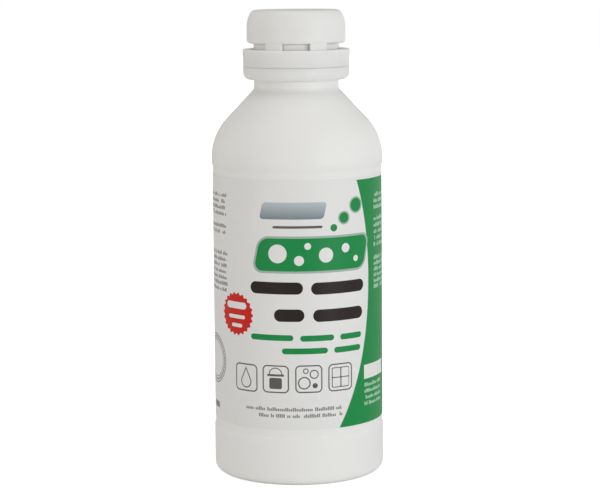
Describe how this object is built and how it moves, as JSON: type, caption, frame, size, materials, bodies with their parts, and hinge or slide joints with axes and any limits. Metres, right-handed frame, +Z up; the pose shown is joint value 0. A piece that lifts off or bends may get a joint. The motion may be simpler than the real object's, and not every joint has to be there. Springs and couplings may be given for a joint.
{
  "type": "bleach bottle",
  "caption": "Round white blow-moulded bottle with a sloping shoulder, a child-resistant screw cap with a squeeze ring, a tamper band and a wrap-round label.",
  "frame": {"origin": "centre of the standing ring, on the surface the bottle stands on", "axes": "+Z up along the bottle's axis, -Y to the front of the label, +X to the right seen from the front"},
  "size_m": [0.056, 0.056, 0.1519],
  "materials": {
    "bottle_plastic": "satin blow-moulded polyethylene",
    "label_film": "satin printed film",
    "cap_plastic": "semi-gloss moulded polypropylene",
    "wad_foam": "fine closed-cell foam"
  },
  "bodies": {
    "bottle": {"bottle": "bottle_plastic", "label": "label_film", "tamper_band": "cap_plastic"},
    "wad": {"cap_wad": "wad_foam"},
    "cap": {"cap": "cap_plastic"}
  },
  "joints": [
    {"name": "cap_rise", "type": "slide", "parent": "bottle", "child": "wad", "axis": [0, 0, 1], "range_m": [0, 0.01601]},
    {"name": "cap_turn", "type": "hinge", "parent": "wad", "child": "cap", "pos_m": [0, 0, 0.1468], "axis": [0, 0, 1], "range_deg": [0, 1800]}
  ],
  "couplings": [
    {"joint": "cap_rise", "follows": "cap_turn", "m_per_rad": 0.0005093}
  ]
}
